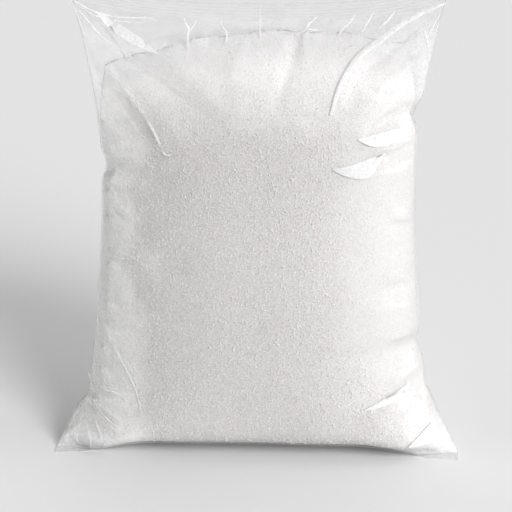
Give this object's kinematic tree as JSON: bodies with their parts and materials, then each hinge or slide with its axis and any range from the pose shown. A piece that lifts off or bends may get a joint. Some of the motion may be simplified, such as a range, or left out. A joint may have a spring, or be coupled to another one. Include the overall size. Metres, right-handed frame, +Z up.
{
  "type": "bag of salt",
  "caption": "Clear plastic pillow bag, well filled with coarse white salt and standing on its foot, with crimped welds, creased film and thin pointed corners.",
  "frame": {"origin": "the middle of the bag's plan, on the floor it stands on", "axes": "+Z up the bag to its top weld, +Y through its depth from the shown face to the face with the back weld, +X across it"},
  "size_m": [0.17, 0.0628, 0.197],
  "materials": {
    "salt": "matt, grainy, white",
    "film": "clear, glossy, creased"
  },
  "bodies": {
    "root": {"salt_bag": "salt"}
  },
  "joints": []
}
